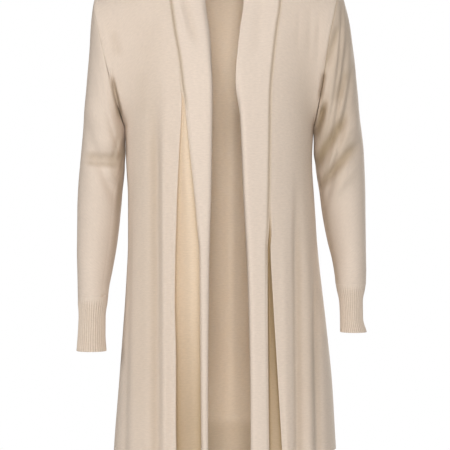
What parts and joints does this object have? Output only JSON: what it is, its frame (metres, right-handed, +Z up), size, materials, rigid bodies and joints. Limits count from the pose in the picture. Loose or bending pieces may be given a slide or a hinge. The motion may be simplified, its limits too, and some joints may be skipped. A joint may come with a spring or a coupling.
{
  "type": "open-front cardigan",
  "caption": "Long open-front cardigan in fine beige knit, with wide plain front bands that run round the neck, inverted pleats beside them, set-in sleeves and ribbed cuffs.",
  "frame": {"origin": "midway between the wearer's two shoulders, at the height of the neck points where the shoulder seams meet the neck; the wearer's shoulders hold the part up there", "axes": "+Z up along the body, +X to the wearer's left, and the open front faces -Y"},
  "size_m": [0.5088, 0.2555, 0.9154],
  "materials": {
    "body_knit": "sand beige fine-gauge jersey knit with a soft matt sheen",
    "sleeve_knit": "the same sand beige jersey knit",
    "band_knit": "the same jersey knit, doubled, smooth and a little lighter",
    "cuff_rib": "fine vertical rib knit of the same yarn"
  },
  "bodies": {
    "root": {"back": "body_knit", "front_right": "body_knit", "front_left": "body_knit", "sleeve_right": "sleeve_knit", "sleeve_left": "sleeve_knit", "band_right": "band_knit", "band_left": "band_knit", "cuff_right": "cuff_rib", "cuff_left": "cuff_rib"}
  },
  "joints": []
}
